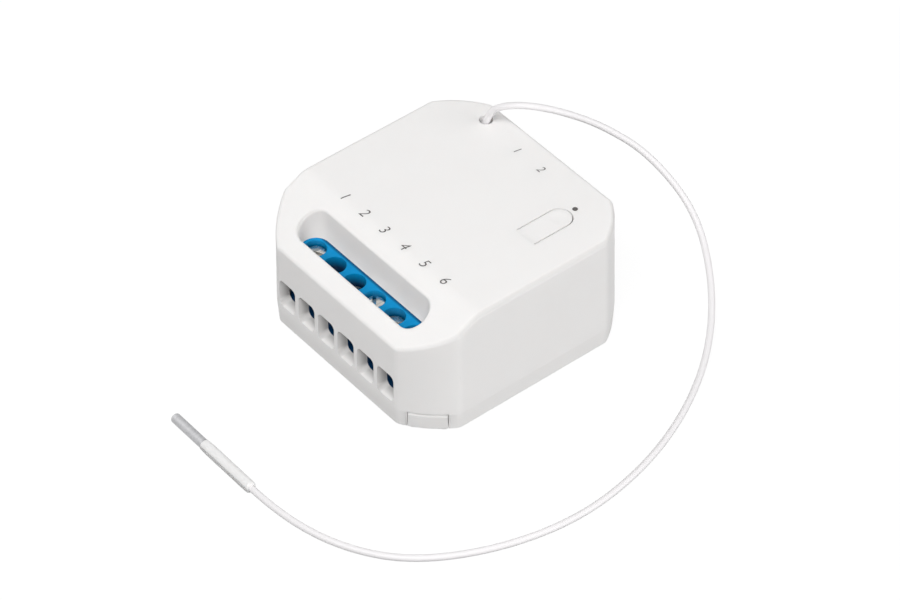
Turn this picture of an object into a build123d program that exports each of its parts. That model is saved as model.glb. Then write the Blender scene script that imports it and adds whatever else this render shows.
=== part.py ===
from build123d import *
from math import pi, radians, sqrt, tan
import os

os.makedirs("parts", exist_ok=True)

# Smart relay module: a small white housing with six screw terminals in the front,
# a pairing button moulded into the lid, two boards inside and a thin antenna lead.
# Millimetres. X runs along the terminals, Y from the terminals to the back, Z up.
# The origin is the middle of the underside.

# Body of the housing
body_side = 43.8
body_height = 22.3
corner_block_lap = 0.2
corner_bulge = 0.7
corner_round = 2.0
draft_growth = 0.35
bend_height = 3.7
foot_inset = 0.25
wall = 1.6
inner_round = 0.6
top_round = 0.8
foot_round = 0.5
slope_setback = 10.5
slope_angle = 28.15
slope_round = 5.0

# Clearances shared by mating pieces
running_gap = 0.05
seat_gap = 0.1
cut_overrun = 5.0

# Six terminal poles and the blue block that holds them
pole_count = 6
pole_pitch = 5.0
block_setback = 1.7
block_depth = 8.6
block_drop = 7.63
block_front_wall = 0.9
block_back_wall = 1.0
pole_rib = 0.9
well_diameter = 3.8
screw_row_setback = 5.6
mouth_width = 3.7
mouth_lift = 0.7
mouth_top_gap = 0.35
mouth_round = 0.8

# Wire holes and screwdriver slot in the housing
wire_hole_lift = 0.5
wire_hole_top_gap = 0.1
wire_hole_round = 1.0
slot_width = 5.05
slot_end_margin = 0.05
slot_rim_round = 0.5
collar_wall = 1.0

# Clamp parts of one pole
yoke_length = 4.0
yoke_lid = 0.9
yoke_floor = 0.9
yoke_side = 0.5
plate_length = 3.4
plate_thickness = 0.5
plate_side_gap = 0.1
head_diameter = 3.3
head_height = 1.2
shank_diameter = 2.9
drive_slot_width = 0.6
drive_slot_depth = 0.7
screw_drop_min = 0.3
plate_floor_gap = 0.58
terminal_pin_width = 1.0
terminal_pin_thickness = 0.8

# Screw heads stand at different depths and angles, left to right
screw_drop_shares = (0.23, 0.90, 0.73, 0.20, 0.42, 0.53)
screw_turns_deg = (24.0, 70.0, -32.0, -40.0, 38.0, -58.0)

# Boards
cover_thickness = 1.4
board_lift = 1.2
board_edge_gap = 0.3
power_board_thickness = 1.6
logic_headroom = 4.5
logic_board_thickness = 1.0
logic_board_side_gap = 2.8
logic_board_front_gap = 3.1
logic_board_back_gap = 3.4
logic_board_corner = 3.0
pin_width = 0.6
pin_hole_gap = 0.15
solder_reach = 0.85
hole_sides = 8

# Heights and lines that the pieces share
half_side = body_side / 2
block_length = pole_count * pole_pitch
corner_leg = (body_side - block_length + corner_block_lap) / 2
front_y = -half_side
draft_slope = draft_growth / (body_height - bend_height)
slope_rise = tan(radians(slope_angle))
crease_y = front_y + slope_setback
ceiling_z = body_height - wall
cover_top = cover_thickness
board_bottom = cover_top + board_lift
board_top = board_bottom + power_board_thickness
board_half = half_side - wall - board_edge_gap
solder_bottom = board_bottom - solder_reach
logic_top = ceiling_z - logic_headroom
logic_bottom = logic_top - logic_board_thickness
logic_board_width = (half_side - wall - logic_board_side_gap) * 2
block_front = front_y + block_setback
block_back = block_front + block_depth
block_top = body_height - block_drop
block_height = block_top - board_top
screw_row = front_y + screw_row_setback
pole_places = [(index + 0.5 - pole_count / 2) * pole_pitch for index in range(pole_count)]
cavity_width = pole_pitch - pole_rib
yoke_metal = yoke_lid + yoke_floor + running_gap
fixed_depth = yoke_metal + head_height + screw_drop_min - plate_thickness - plate_floor_gap
wire_space = (block_height - fixed_depth) / 2
screw_travel = wire_space - plate_thickness - plate_floor_gap
cavity_top = board_top + yoke_metal + wire_space
mouth_bottom = board_top + mouth_lift
mouth_height = cavity_top - mouth_top_gap - mouth_bottom
wire_hole_bottom = board_top + wire_hole_lift
wire_hole_height = cavity_top - wire_hole_top_gap - wire_hole_bottom
slot_length = block_length - slot_end_margin - slot_end_margin
inner_half = half_side - wall

# The inset of an outline takes this share of itself off each corner leg
corner_inset_share = 2 - sqrt(2)

nodes = {}


def box_between(low, high):
    """Box from its lowest to its highest corner."""
    size = [upper - lower for lower, upper in zip(low, high)]
    return Pos(*low) * Box(*size, align=(Align.MIN, Align.MIN, Align.MIN))


def rod_up(x, y, bottom, top, radius):
    """Upright round rod."""
    return Pos(x, y, bottom) * Cylinder(radius, top - bottom, align=(Align.CENTER, Align.CENTER, Align.MIN))


def drill_hole(x, y, bottom, top, radius):
    """Cutter for a drilled hole, with flats for few faces."""
    profile = Pos(x, y, bottom) * RegularPolygon(radius, hole_sides, major_radius=False)
    return extrude(profile, top - bottom)


def upright_edges(solid):
    """Edges that run along Z."""
    return solid.edges().filter_by(Axis.Z)


def pin_down(x, y, top, width=pin_width, depth=pin_width):
    """Square pin from a piece down through the power board."""
    low = (x - width / 2, y - depth / 2, solder_bottom)
    high = (x + width / 2, y + depth / 2, top)
    return box_between(low, high)


# Outline and form of the housing

def cut_square(inset, rounding):
    """Square with four bulged corner cuts, inset from the outline of the lid."""
    half = half_side - inset
    leg = corner_leg - corner_inset_share * inset
    start = half - leg
    middle = (half + start) / 2 + corner_bulge / sqrt(2)
    edges = []
    for quarter in range(4):
        turn = Rot(0, 0, 90 * quarter)
        edges.append(turn * Line((half, -start), (half, start)))
        edges.append(turn * ThreePointArc((half, start), (middle, middle), (start, half)))
    outline = make_face(edges)
    return fillet(outline.vertices(), rounding)


def side_profile(inset):
    """Side view: flat top, soft crease and sloped front, inset on all three."""
    top = body_height - inset
    crease = crease_y + inset * tan(radians(slope_angle) / 2)
    back = half_side + cut_overrun
    front = -back
    front_top = top - (crease - front) * slope_rise
    points = [(back, -cut_overrun), (back, top), (crease, top), (front, front_top), (front, -cut_overrun)]
    profile = Plane.YZ * Polyline(*points, close=True)
    face = make_face(profile)
    corner = face.vertices().sort_by_distance((0, crease, top))[0]
    face = fillet(corner, slope_round - inset)
    return extrude(face, half_side + cut_overrun, both=True)


def body_form(inset, foot_inset_here, rounding, foot):
    """Tapered walls above the bend, drawn-in foot below it, cut to the side view."""
    rise = body_height + cut_overrun
    grown = inset - draft_growth
    drawn = inset + cut_overrun * draft_slope
    bend = Pos(0, 0, bend_height) * cut_square(grown, rounding)
    above = Pos(0, 0, rise) * cut_square(drawn, rounding)
    low = Pos(0, 0, foot) * cut_square(grown + foot_inset_here, rounding)
    form = loft([bend, above], ruled=True) + loft([low, bend], ruled=True)
    return form & side_profile(inset)


def rim_edges(form):
    """Edges between the lid's surfaces and the walls."""
    lid_faces = [face for face in form.faces() if face.normal_at().Z > 0.5]
    lid_edges = ShapeList([edge for face in lid_faces for edge in face.edges()])
    return ShapeList([edge for edge in lid_edges if lid_edges.count(edge) == 1])


# Housing shell

snap_half_width = 3.3
snap_slit = 0.3
snap_slit_height = 3.6
snap_slit_round = 0.7
snap_lip_height = 0.45
snap_lip_reach = 0.6
snap_groove_height = 3.5
snap_groove_radius = 0.6
snap_groove_depth = 0.12
rib_width = 1.2
rib_reach = 0.9
peg_diameter = 2.0
antenna_hole_diameter = 2.3
antenna_hole_x = -12.4
antenna_hole_y = 18.6
led_window_diameter = 3.0
led_window_floor = 0.6
led_setback = 4.9
led_places = (-3.6, 2.3)

# Pairing button, a tongue of the lid
button_side_setback = 8.99
button_root_setback = 16.0
button_length = 6.78
button_half_width = 2.03
button_slot = 0.2
button_thickness = 1.2
button_root_lean = 0.15
button_boss_diameter = 1.8
button_boss_reach = 0.5
button_play = 0.1
dimple_diameter = 3.0
dimple_depth = 0.1

corner_reach = (half_side + half_side - corner_leg) / sqrt(2) + corner_bulge
led_row_y = half_side - led_setback
button_x = half_side - button_side_setback
button_root_y = half_side - button_root_setback
button_round_y = button_root_y + button_length
peg_places = [
    (-logic_board_width / 2 + peg_diameter, logic_board_front_gap + block_back + peg_diameter),
    (logic_board_width / 2 - peg_diameter, logic_board_front_gap + block_back + peg_diameter),
    (logic_board_width / 2 - peg_diameter / 2, 0),
    (-logic_board_width / 2 + peg_diameter / 2, 0),
]


def stadium(length, width):
    """Slot shape with round ends, centred on the screw row."""
    return Pos(0, screw_row) * SlotOverall(length, width)


def button_outline(grow):
    """Tongue seen from above, square at the root and round at the tip."""
    half = button_half_width + grow
    left = button_x - half
    right = button_x + half
    tip = (button_x, button_round_y + half)
    edges = [
        Line((left, button_root_y), (right, button_root_y)),
        Line((right, button_root_y), (right, button_round_y)),
        ThreePointArc((right, button_round_y), tip, (left, button_round_y)),
        Line((left, button_round_y), (left, button_root_y)),
    ]
    return make_face(edges)


def button_opening():
    """Slot round the tongue, with a seat that leans away below its root."""
    half = button_half_width + button_slot
    depth = wall + cut_overrun + cut_overrun
    opening = Pos(0, 0, ceiling_z - cut_overrun) * extrude(button_outline(button_slot), depth)
    near = button_root_y - running_gap
    far = near - button_root_lean
    above = body_height + cut_overrun
    points = [(near, above), (near, body_height), (far, ceiling_z), (far, ceiling_z - cut_overrun)]
    points += [(button_round_y, ceiling_z - cut_overrun), (button_round_y, above)]
    seat = Plane.YZ.offset(button_x) * make_face(Polyline(*points, close=True))
    return opening + extrude(seat, half, both=True)


def snap_slit_cut():
    """Narrow slit with a rounded mouth at the foot, as a sketch along the wall."""
    half = snap_slit / 2
    mouth = half + snap_slit_round
    slit = Pos(0, snap_slit_height / 2) * Rectangle(snap_slit, snap_slit_height)
    flare = Pos(0, (snap_slit_round - cut_overrun) / 2) * Rectangle(mouth * 2, snap_slit_round + cut_overrun)
    for side in (-mouth, mouth):
        flare -= Pos(side, snap_slit_round) * Circle(snap_slit_round)
    return slit + flare


def snap_cuts(quarter):
    """Slits of one corner's snap tongue, and the soft groove over it."""
    turn = Rot(0, 0, 45 + 90 * quarter)
    radial = Plane(origin=(0, 0, 0), x_dir=(0, 1, 0), z_dir=(1, 0, 0))
    cutter = extrude(radial.offset(corner_reach - wall - wall) * snap_slit_cut(), wall * 4)
    slits = [Pos(0, side, 0) * cutter for side in (-snap_half_width, snap_half_width)]
    chord = corner_leg * sqrt(2) / 2
    arc_radius = (chord * chord + corner_bulge * corner_bulge) / (2 * corner_bulge)
    middle = corner_reach + draft_growth - arc_radius
    ring_place = Plane(origin=(middle, 0, 0), x_dir=(1, 0, 0), z_dir=(0, -1, 0))
    centre = (arc_radius + snap_groove_radius - snap_groove_depth, snap_groove_height)
    ring = ring_place * Pos(*centre) * Circle(snap_groove_radius)
    groove = revolve(ring, Axis((middle, 0, 0), (0, 0, 1)), revolution_arc=360)
    sector_end = (corner_reach + cut_overrun, snap_half_width, bend_height + wall)
    sector = box_between((0, -snap_half_width, 0), sector_end)
    return turn * (slits[0] + slits[1] + (groove & sector))


def snap_lip(quarter):
    """Catch at the foot of a snap tongue that holds the cover plate."""
    inner = corner_reach + draft_growth - wall
    low = (inner - snap_lip_reach, -snap_half_width + snap_slit, 0)
    high = (inner + wall / 2, snap_half_width - snap_slit, snap_lip_height)
    return Rot(0, 0, 45 + 90 * quarter) * box_between(low, high)


def wall_rib(turn_deg):
    """Rib on a side wall that stands on the power board."""
    low = (inner_half - rib_reach, -rib_width / 2, board_top)
    high = (inner_half + wall / 2, rib_width / 2, ceiling_z + wall / 2)
    return Rot(0, 0, turn_deg) * box_between(low, high)


def wire_holes():
    """Six rounded holes through the front wall, one for each pole."""
    width = cavity_width
    hole = RectangleRounded(width, wire_hole_height, wire_hole_round)
    middle = wire_hole_bottom + wire_hole_height / 2
    holes = [Pos(x, block_front, middle) * Rot(90, 0, 0) * hole for x in pole_places]
    return [extrude(face, cut_overrun, dir=(0, -1, 0)) for face in holes]


def housing_shell():
    """White moulded housing, open underneath."""
    outer = body_form(0, foot_inset, corner_round, 0)
    outer = fillet(rim_edges(outer), top_round)
    outer = chamfer(outer.faces().sort_by(Axis.Z)[0].edges(), foot_round)
    limit = body_form(wall / 2, foot_inset, corner_round, 0)
    inner = body_form(wall, 0, inner_round, -cut_overrun)
    shell = outer - inner
    pad_low = (-block_length / 2, front_y + wall / 2, board_top)
    pad_high = (block_length / 2, block_front, block_top)
    shell += box_between(pad_low, pad_high)
    collar = extrude(stadium(slot_length + collar_wall * 2, slot_width + collar_wall * 2), body_height)
    collar = Pos(0, 0, block_top) * collar
    shell += collar & limit
    for turn_deg in (0, 90, 180):
        shell += wall_rib(turn_deg)
    for x, y in peg_places:
        shell += rod_up(x, y, logic_top, ceiling_z + wall / 2, peg_diameter / 2)
    shell -= Pos(0, 0, block_top - cut_overrun) * extrude(stadium(slot_length, slot_width), body_height)
    rim = [edge for edge in shell.edges() if is_slot_rim(edge)]
    shell = fillet(rim, slot_rim_round)
    for hole in wire_holes():
        shell -= hole
    for quarter in range(4):
        shell += snap_lip(quarter)
    for quarter in range(4):
        shell -= snap_cuts(quarter)
    shell -= button_opening()
    shell -= rod_up(antenna_hole_x, antenna_hole_y, logic_top, body_height + wall, antenna_hole_diameter / 2)
    for x in led_places:
        top = body_height - led_window_floor
        shell -= rod_up(x, led_row_y, logic_top, top, led_window_diameter / 2)
    return shell


def is_slot_rim(edge):
    """True for the edges where the screwdriver slot meets the sloped lid."""
    middle = edge.center()
    slope_z = body_height - (crease_y - middle.Y) * slope_rise
    near_slope = abs(middle.Z - slope_z) < slot_rim_round
    within_x = abs(middle.X) < slot_length / 2 + running_gap
    within_y = abs(middle.Y - screw_row) < slot_width / 2 + running_gap
    return near_slope and within_x and within_y


def pairing_button():
    """Flexing tongue of the lid with a boss that presses the switch."""
    tongue = Pos(0, 0, body_height - button_thickness) * extrude(button_outline(0), button_thickness)
    boss_top = body_height - button_thickness / 2
    boss_bottom = body_height - button_thickness - button_boss_reach
    tongue += rod_up(button_x, button_round_y, boss_bottom, boss_top, button_boss_diameter / 2)
    half = dimple_diameter / 2
    ball_radius = (half * half + dimple_depth * dimple_depth) / (2 * dimple_depth)
    ball_z = body_height - dimple_depth + ball_radius
    tongue -= Pos(button_x, button_round_y, ball_z) * Sphere(ball_radius)
    return tongue


nodes["housing_shell"] = housing_shell()
nodes["pairing_button"] = pairing_button()

# Cover plate under the boards

post_diameter = 2.4
post_inset = 3.0


def base_cover():
    """Flat cover inside the skirt with four posts under the power board."""
    outline = cut_square(wall - draft_growth + seat_gap, inner_round)
    plate = extrude(outline, cover_thickness)
    inner = corner_reach + draft_growth - wall
    for quarter in range(4):
        low = (inner - snap_lip_reach - seat_gap, -snap_half_width, 0)
        high = (inner + wall, snap_half_width, snap_lip_height + running_gap)
        plate -= Rot(0, 0, 45 + 90 * quarter) * box_between(low, high)
    post_reach = corner_reach - wall - post_inset
    for quarter in range(4):
        post = rod_up(post_reach, 0, cover_top / 2, board_bottom, post_diameter / 2)
        plate += Rot(0, 0, 45 + 90 * quarter) * post
    return plate


nodes["base_cover"] = base_cover()

# Terminal block

block_edge_round = 0.3
block_corner = 0.8


def terminal_body():
    """Blue block: a driver well, a clamp cavity and a wire mouth for each pole."""
    low = (-block_length / 2, block_front, board_top)
    high = (block_length / 2, block_back, block_top)
    block = box_between(low, high)
    block = chamfer(upright_edges(block).group_by(Axis.Y)[0], block_corner)
    block = fillet(block.edges().filter_by(Axis.X).group_by(Axis.Z)[-1], block_edge_round)
    for x in pole_places:
        block -= rod_up(x, screw_row, board_top, block_top + cut_overrun, well_diameter / 2)
        cavity_low = (x - cavity_width / 2, block_front + block_front_wall, board_top - cut_overrun)
        cavity_high = (x + cavity_width / 2, block_back - block_back_wall, cavity_top)
        block -= box_between(cavity_low, cavity_high)
        middle = mouth_bottom + mouth_height / 2
        mouth = RectangleRounded(mouth_width, mouth_height, mouth_round)
        block -= extrude(Pos(x, screw_row, middle) * Rot(90, 0, 0) * mouth, block_depth, dir=(0, -1, 0))
    return block


yoke_top = cavity_top - running_gap
yoke_width = cavity_width - running_gap * 2
window_width = yoke_width - yoke_side * 2
window_top = yoke_top - yoke_lid
window_bottom = board_top + yoke_floor


def terminal_yoke(x):
    """Metal frame round the wire space, with a threaded lid and a solder pin."""
    low = (x - yoke_width / 2, screw_row - yoke_length / 2, board_top)
    high = (x + yoke_width / 2, screw_row + yoke_length / 2, yoke_top)
    frame = box_between(low, high)
    window_low = (x - window_width / 2, screw_row - yoke_length, window_bottom)
    window_high = (x + window_width / 2, screw_row + yoke_length, window_top)
    frame -= box_between(window_low, window_high)
    thread_radius = shank_diameter / 2 + running_gap
    frame -= rod_up(x, screw_row, window_bottom + yoke_lid, yoke_top + yoke_lid, thread_radius)
    return frame + pin_down(x, screw_row, board_top, terminal_pin_width, terminal_pin_thickness)


nodes["terminal_body"] = terminal_body()
nodes["terminal_yokes"] = Compound([terminal_yoke(x) for x in pole_places])

# Clamp screws and the plates that they press on the wires

plate_top_min = window_top - running_gap
shank_length = block_top - screw_drop_min - head_height - plate_top_min
drive_slot_overrun = head_diameter


def clamp_screw(x, head_top, turn_deg):
    """Slotted screw whose tip carries the clamp plate."""
    head_bottom = head_top - head_height
    head = rod_up(x, screw_row, head_bottom, head_top, head_diameter / 2)
    slot = Box(drive_slot_overrun * 2, drive_slot_width, drive_slot_depth * 2)
    head -= Pos(x, screw_row, head_top) * Rot(0, 0, turn_deg) * slot
    return head + rod_up(x, screw_row, head_bottom - shank_length, head_bottom, shank_diameter / 2)


def clamp_plate(x, plate_top):
    """Flat plate in the yoke's window."""
    half_width = window_width / 2 - plate_side_gap
    low = (x - half_width, screw_row - plate_length / 2, plate_top - plate_thickness)
    high = (x + half_width, screw_row + plate_length / 2, plate_top)
    return box_between(low, high)


for index, x in enumerate(pole_places):
    drop = screw_drop_min + screw_drop_shares[index] * screw_travel
    head_top = block_top - drop
    tip = head_top - head_height - shank_length
    number = index + 1
    nodes[f"clamp_screw_{number}"] = clamp_screw(x, head_top, screw_turns_deg[index])
    nodes[f"clamp_plate_{number}"] = clamp_plate(x, tip)

# Parts on the power board, in rows behind the terminal block

row_gap = 0.8
relays_left = 0.5
relay_headroom = 1.5
relay_gap = 0.5
relay_edge_gap = 1.0
relay_stand_off = 0.3
relay_pin_inset = 1.5
case_round = 0.5
header_depth = 2.5
output_cap_diameter = 6.3
output_edge_gap = 2.9

relay_front = block_back + row_gap
output_row = board_half - output_edge_gap - output_cap_diameter
header_back = output_row - row_gap
relay_back = header_back - header_depth - row_gap
relay_length = relay_back - relay_front
relay_width = (board_half - relay_edge_gap - relay_gap - relays_left) / 2
relay_height = logic_bottom - relay_headroom - board_top
relay_2_left = board_half - relay_edge_gap - relay_width
relay_1_left = relay_2_left - relay_gap - relay_width


def pins_at(places, top):
    """Solder pins under one component."""
    return [pin_down(x, y, top) for x, y in places]


def with_pins(case, places, top):
    """Component case with its pins."""
    for pin in pins_at(places, top):
        case += pin
    return case


def relay_pins(left):
    """Four pin places of one relay."""
    ends = (relay_front + relay_pin_inset, relay_back - relay_pin_inset)
    sides = (left + relay_pin_inset, left + relay_width - relay_pin_inset)
    return [(x, y) for x in sides for y in ends]


def relay(left):
    """Sealed relay case on four pins."""
    low = (left, relay_front, board_top + relay_stand_off)
    high = (left + relay_width, relay_back, board_top + relay_height)
    case = fillet(upright_edges(box_between(low, high)), case_round)
    return with_pins(case, relay_pins(left), board_top + relay_height / 2)


nodes["relay_1"] = relay(relay_1_left)
nodes["relay_2"] = relay(relay_2_left)

# Transformer: a ferrite core with two windows round a wound bobbin

core_side_gap = 4.1
core_headroom = 1.6
core_depth_share = 0.5
core_leg = 2.0
core_middle_leg = 3.4
coil_round = 1.0
transformer_gap = 1.0
resistor_diameter = 2.8
resistor_edge_gap = 0.6
input_cap_headroom = 3.0
bridge_depth = 2.4
film_cap_depth = 5.0
film_edge_gap = 3.4

core_right = relay_1_left - transformer_gap
core_left = -board_half + resistor_edge_gap + resistor_diameter + core_side_gap
core_width = core_right - core_left
core_x = core_right - core_width / 2
core_height = logic_bottom - core_headroom - board_top
input_cap_diameter = logic_bottom - input_cap_headroom - board_top
film_front = board_half - film_edge_gap - film_cap_depth
bridge_front = film_front - row_gap - bridge_depth
input_cap_y = bridge_front - row_gap - input_cap_diameter / 2
coil_back = input_cap_y - input_cap_diameter / 2 - row_gap
coil_depth = coil_back - relay_front
coil_y = relay_front + coil_depth / 2
core_depth = coil_depth * core_depth_share


def transformer_core():
    """Ferrite core with two windows."""
    low = (core_x - core_width / 2, coil_y - core_depth / 2, board_top + running_gap)
    high = (core_x + core_width / 2, coil_y + core_depth / 2, board_top + core_height)
    core = box_between(low, high)
    for side in (-1, 1):
        inner = core_x + side * core_middle_leg / 2
        outer = core_x + side * (core_width / 2 - core_leg)
        window_low = (min(inner, outer), coil_y - core_depth, board_top + core_leg)
        window_high = (max(inner, outer), coil_y + core_depth, board_top + core_height - core_leg)
        core -= box_between(window_low, window_high)
    return core


def coil_pins():
    """Four pins under the bobbin, outside the core."""
    reach_x = core_width / 2 - core_leg - pin_width
    reach_y = coil_depth / 2 - pin_width
    return [(core_x + sx * reach_x, coil_y + sy * reach_y) for sx in (-1, 1) for sy in (-1, 1)]


def transformer_coil():
    """Taped winding round the core's middle leg."""
    half_width = core_width / 2 - core_leg - running_gap
    low = (core_x - half_width, coil_y - coil_depth / 2, board_top + core_leg + running_gap)
    high = (core_x + half_width, coil_y + coil_depth / 2, board_top + core_height - core_leg - running_gap)
    coil = fillet(upright_edges(box_between(low, high)), coil_round)
    leg_half = core_middle_leg / 2 + running_gap
    leg_low = (core_x - leg_half, coil_y - core_depth / 2 - running_gap, board_top)
    leg_high = (core_x + leg_half, coil_y + core_depth / 2 + running_gap, board_top + core_height)
    coil -= box_between(leg_low, leg_high)
    return with_pins(coil, coil_pins(), board_top + core_height / 2)


nodes["transformer_core"] = transformer_core()
nodes["transformer_coil"] = transformer_coil()

# Mains parts left of the transformer and behind it

resistor_length_share = 0.414
input_cap_side_gap = 2.9
can_groove_depth = 0.3
can_groove_width = 0.8
can_groove_setback = 1.6
bridge_length = 4.7
bridge_height = 3.0
film_cap_overhang = 0.5
film_cap_headroom = 2.0
varistor_headroom = 3.7
varistor_thickness = 3.0
lead_reach = 1.0

resistor_x = -board_half + resistor_edge_gap + resistor_diameter / 2
resistor_z = board_top + resistor_diameter / 2
input_cap_right = relay_1_left - transformer_gap - lead_reach
input_cap_left = -board_half + resistor_edge_gap + varistor_thickness + input_cap_side_gap
input_cap_length = input_cap_right - input_cap_left
input_cap_z = board_top + input_cap_diameter / 2
bridge_x = core_x
film_cap_length = core_width + film_cap_overhang * 2
film_cap_height = logic_bottom - film_cap_headroom - board_top
film_left = core_x - film_cap_length / 2
varistor_diameter = logic_bottom - varistor_headroom - board_top - relay_stand_off


def can_with_groove(radius, length):
    """Aluminium can along Z with a rolled groove near one end."""
    profile = Polyline(
        (0, 0), (radius, 0), (radius, can_groove_setback),
        (radius - can_groove_depth, can_groove_setback + can_groove_width / 2),
        (radius, can_groove_setback + can_groove_width), (radius, length), (0, length), close=True)
    return revolve(Plane.XZ * make_face(profile), Axis.Z)


def bent_lead(x, y, end_x, z):
    """Wire from a lying part to its hole: level, then down."""
    level_low = (min(x, end_x) - pin_width / 2, y - pin_width / 2, z - pin_width / 2)
    level_high = (max(x, end_x) + pin_width / 2, y + pin_width / 2, z + pin_width / 2)
    return box_between(level_low, level_high) + pin_down(end_x, y, z)


def input_cap_leads():
    """Hole places of the lying capacitor's two leads."""
    reach = input_cap_diameter / 4
    return [(input_cap_right + lead_reach, input_cap_y + side * reach) for side in (-1, 1)]


def input_capacitor():
    """Large electrolytic capacitor lying on its side."""
    can = can_with_groove(input_cap_diameter / 2, input_cap_length)
    can = Pos(input_cap_right, input_cap_y, input_cap_z) * Rot(0, -90, 0) * can
    for x, y in input_cap_leads():
        can += bent_lead(input_cap_right - pin_width, y, x, input_cap_z)
    return can


def resistor_leads():
    """Hole places at both ends of the fusible resistor."""
    reach = resistor_length / 2 + lead_reach
    return [(resistor_x, resistor_y - reach), (resistor_x, resistor_y + reach)]


def fuse_resistor():
    """Fusible resistor lying along the board's edge."""
    body = Rot(90, 0, 0) * Cylinder(resistor_diameter / 2, resistor_length)
    body = Pos(resistor_x, resistor_y, resistor_z) * body
    for x, y in resistor_leads():
        low = (x - pin_width / 2, min(y, resistor_y) - pin_width / 2, resistor_z - pin_width / 2)
        high = (x + pin_width / 2, max(y, resistor_y) + pin_width / 2, resistor_z + pin_width / 2)
        body += box_between(low, high) + pin_down(x, y, resistor_z)
    return body


def bridge_pins():
    """Two pin places of the bridge rectifier."""
    reach = bridge_length / 2 - pin_width
    return [(bridge_x + side * reach, bridge_front + bridge_depth / 2) for side in (-1, 1)]


def bridge_rectifier():
    """Small bridge rectifier in a flat case."""
    low = (bridge_x - bridge_length / 2, bridge_front, board_top + running_gap)
    high = (bridge_x + bridge_length / 2, bridge_front + bridge_depth, board_top + bridge_height)
    return with_pins(box_between(low, high), bridge_pins(), board_top + bridge_height / 2)


def film_cap_pins():
    """Two pin places of the film capacitor."""
    reach = film_cap_length / 2 - pin_width * 2
    return [(core_x + side * reach, film_front + film_cap_depth / 2) for side in (-1, 1)]


def suppression_capacitor():
    """Boxed film capacitor across the mains."""
    low = (film_left, film_front, board_top + running_gap)
    high = (film_left + film_cap_length, film_front + film_cap_depth, board_top + film_cap_height)
    case = fillet(upright_edges(box_between(low, high)), case_round)
    return with_pins(case, film_cap_pins(), board_top + film_cap_height / 2)


varistor_x = -board_half + resistor_edge_gap + varistor_thickness / 2
varistor_y = input_cap_y + input_cap_diameter / 2 + row_gap
varistor_front = varistor_y - varistor_diameter / 2
resistor_length = (varistor_front - relay_front) * resistor_length_share
resistor_y = relay_front + resistor_length


def varistor_pins():
    """Two pin places of the varistor."""
    reach = varistor_diameter / 4
    return [(varistor_x, varistor_y - reach), (varistor_x, varistor_y + reach)]


def varistor():
    """Disc varistor standing on its rim."""
    middle = board_top + relay_stand_off + varistor_diameter / 2
    disc = Cylinder(varistor_diameter / 2, varistor_thickness)
    disc = chamfer(disc.edges().filter_by(GeomType.CIRCLE), case_round)
    disc = Pos(varistor_x, varistor_y, middle) * Rot(0, 90, 0) * disc
    return with_pins(disc, varistor_pins(), middle)


nodes["input_capacitor"] = input_capacitor()
nodes["fuse_resistor"] = fuse_resistor()
nodes["bridge_rectifier"] = bridge_rectifier()
nodes["suppression_capacitor"] = suppression_capacitor()
nodes["varistor"] = varistor()

# Board header and low-voltage parts behind the relays

header_count = 6
header_pitch = 2.54
header_height = 2.5
output_cap_headroom = 1.8
choke_diameter = 6.0
choke_headroom = 3.0
choke_flange = 1.0
choke_waist = 1.0

header_y = header_back - header_depth / 2
header_left = relay_1_left + pin_width
header_places = [(header_left + (index + 0.5) * header_pitch, header_y) for index in range(header_count)]
output_cap_height = logic_bottom - output_cap_headroom - board_top
choke_height = logic_bottom - choke_headroom - board_top
output_cap_x = relay_2_left - output_cap_diameter / 2
output_cap_y = output_row + output_cap_diameter / 2
choke_x = relay_2_left + row_gap + choke_diameter / 2
choke_y = output_row + choke_diameter / 2


def header_spacer():
    """Plastic strip that holds the header pins."""
    low = (header_left, header_y - header_depth / 2, board_top)
    high = (header_left + header_count * header_pitch, header_y + header_depth / 2, board_top + header_height)
    strip = box_between(low, high)
    for x, y in header_places:
        hole_half = pin_width / 2 + running_gap
        hole_low = (x - hole_half, y - hole_half, board_top - header_height)
        strip -= box_between(hole_low, (x + hole_half, y + hole_half, board_top + header_height * 2))
    return strip


def header_pin(x, y):
    """One pin from the power board to just above the logic board."""
    half = pin_width / 2
    return box_between((x - half, y - half, solder_bottom), (x + half, y + half, logic_top + half))


def standing_pins(x, y, diameter):
    """Two pin places under a standing round part."""
    reach = diameter / 4
    return [(x - reach, y), (x + reach, y)]


def output_capacitor():
    """Standing electrolytic capacitor of the low-voltage side."""
    can = can_with_groove(output_cap_diameter / 2, output_cap_height)
    can = Pos(output_cap_x, output_cap_y, board_top) * can
    places = standing_pins(output_cap_x, output_cap_y, output_cap_diameter)
    return with_pins(can, places, board_top + can_groove_setback)


def inductor():
    """Drum choke with two flanges."""
    radius = choke_diameter / 2
    waist = radius - choke_waist
    top = choke_height
    profile = Polyline(
        (0, 0), (radius, 0), (radius, choke_flange), (waist, choke_flange), (waist, top - choke_flange),
        (radius, top - choke_flange), (radius, top), (0, top), close=True)
    drum = Pos(choke_x, choke_y, board_top) * revolve(Plane.XZ * make_face(profile), Axis.Z)
    return with_pins(drum, standing_pins(choke_x, choke_y, choke_diameter), board_top + choke_flange)


nodes["header_spacer"] = header_spacer()
nodes["header_pins"] = Compound([header_pin(x, y) for x, y in header_places])
nodes["output_capacitor"] = output_capacitor()
nodes["inductor"] = inductor()

# The two boards, drilled for the pins above

component_pins = relay_pins(relay_1_left) + relay_pins(relay_2_left) + coil_pins() + input_cap_leads()
component_pins += resistor_leads() + bridge_pins() + film_cap_pins() + varistor_pins() + header_places
component_pins += standing_pins(output_cap_x, output_cap_y, output_cap_diameter)
component_pins += standing_pins(choke_x, choke_y, choke_diameter)
terminal_pins = [(x, screw_row) for x in pole_places]
logic_front = block_back + logic_board_front_gap
logic_back = half_side - logic_board_back_gap


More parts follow.
